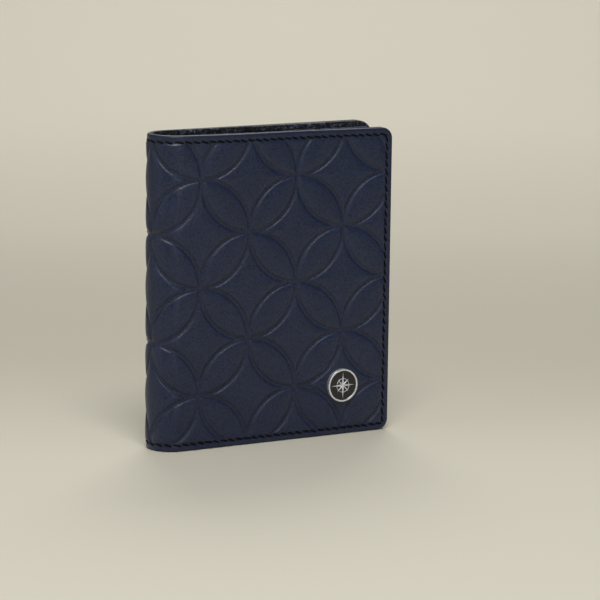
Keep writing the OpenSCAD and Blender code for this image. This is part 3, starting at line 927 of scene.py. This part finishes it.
def onMedallion(x, y, h):
    # a place on the front cover's medallion in mm: x along the cover, y up and h out of the leather
    normal = np.array([-math.sin(halfAjar), -math.cos(halfAjar)])
    along = np.array([math.cos(halfAjar), -math.sin(halfAjar)])
    x, y, h = np.broadcast_arrays(np.asarray(x, float), y, h)
    plan = spineCentre + (holder["spineRadius"] + h)[..., None] * normal + (medal["u"] + x)[..., None] * along
    return np.concatenate([plan, (medal["z"] + y)[..., None]], -1) * mm


def lathe(profile, sides=medal["sides"]):
    # carries a profile of (radius, height) round the medallion's axis, and closes it at both ends
    turn = np.linspace(0, 2 * math.pi, sides, endpoint=False)
    r, h = np.array(profile)[:, :1], np.array(profile)[:, 1:]
    return turnedOut({"points": onMedallion(r * np.cos(turn), r * np.sin(turn), h + 0 * turn),
                      "faces": tubeFaces(len(profile), sides)})


def discProfile():
    # a flat rim whose two edges are quarter rounds of radius b, down to the recess's floor inside
    r, h, rim, b = medal["radius"], medal["height"], medal["rim"], medal["bevel"]
    quarter = np.linspace(0, math.pi / 2, 5)
    outside = [(r - b + b * math.cos(a), h - b + b * math.sin(a)) for a in quarter]
    inside = [(r - rim + b - b * math.sin(a), h - b + b * math.cos(a)) for a in quarter]
    floor, sink = h - medal["recess"], medal["sink"]
    under = [(r - 5 * sink, floor - sink), (r - 0.1 * sink, h - b - 0.8 * sink)]
    hollow = [(r - rim, floor + sink), (r - rim - sink / 2, floor), (r - rim - 6 * sink, floor)]
    return under + outside + inside + hollow


def wallProfile():
    # the side under the rim: a small round foot, and a wall that leans in a little
    r, h, sink = medal["radius"], medal["height"] - medal["bevel"], medal["sink"]
    hole, floor = r - medal["rim"] + sink, medal["height"] - medal["recess"] - sink / 2
    little, more = medal["lean"]
    foot = [(r - 3 * sink, little), (r - 0.6 * sink, more), (r, sink), (r, 3 * sink)]
    return foot + [(r - little, h - sink), (r - more, h), (hole, h), (hole, floor)]


def rosePoint(k):
    # one ridge from the middle to a tip, with two slanting sides
    length, shoulder, lower = medal["rose"][k % 2]
    base = medal["height"] - medal["recess"] + medal["enamel"] - lower
    half, a = medal["waist"] * shoulder, k * math.pi / 4
    x = np.array([0, shoulder, length, shoulder, 0, length])
    y = np.array([0, -half, 0, half, 0, 0])
    rise = np.array([0, 0, 0, 0, medal["ridge"], medal["tipRidge"]])
    points = onMedallion(x * math.cos(a) - y * math.sin(a), x * math.sin(a) + y * math.cos(a), base + rise)
    return turnedOut({"points": points,
                      "faces": [[0, 3, 2, 1], [0, 1, 4], [1, 5, 4], [1, 2, 5], [2, 3, 5], [3, 4, 5], [3, 0, 4]]})


def roseRing():
    # a ring of round wire, (R + a cos v, a sin v) carried round the axis
    base = medal["height"] - medal["recess"] + medal["enamel"]
    sides, ring = medal["sides"], medal["ringSides"]
    around = np.linspace(0, 2 * math.pi, sides, endpoint=False)[:, None]
    section = np.linspace(0, 2 * math.pi, ring, endpoint=False)[None, :]
    r = medal["ringRadius"] + medal["ringThread"] * np.cos(section)
    points = onMedallion(r * np.cos(around), r * np.sin(around),
                         base + medal["ringThread"] * np.sin(section) + 0 * around)
    index = np.arange(sides * ring).reshape(sides, ring)
    beside, ahead = np.roll(index, -1, 1), np.roll(index, -1, 0)
    faces = np.stack([index, beside, np.roll(beside, -1, 0), ahead], -1).reshape(-1, 4).tolist()
    return turnedOut({"points": points, "faces": faces})


post = [(medal["postRadius"], -medal["postDepth"]), (medal["postRadius"], medal["postTop"])]
finishPiece(makePiece("medallionRim", [lathe(discProfile())], nickel), "front_cover", "polished_metal")
finishPiece(makePiece("medallionDisc", [lathe(wallProfile()), lathe(post, medal["postSides"])], satin),
            "front_cover", "polished_metal", "medallion_disc")
finishPiece(makePiece("medallionRose", [rosePoint(k) for k in range(8)] + [roseRing()], satin, smooth=False),
            "front_cover", "polished_metal", "medallion_compass_rose")
for name, finish in (("medallion_enamel", enamel), ("medallion_washer", steel), ("back_board", fibreBoard)):
    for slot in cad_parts[name].material_slots:
        slot.material = finish
print("medallion made")
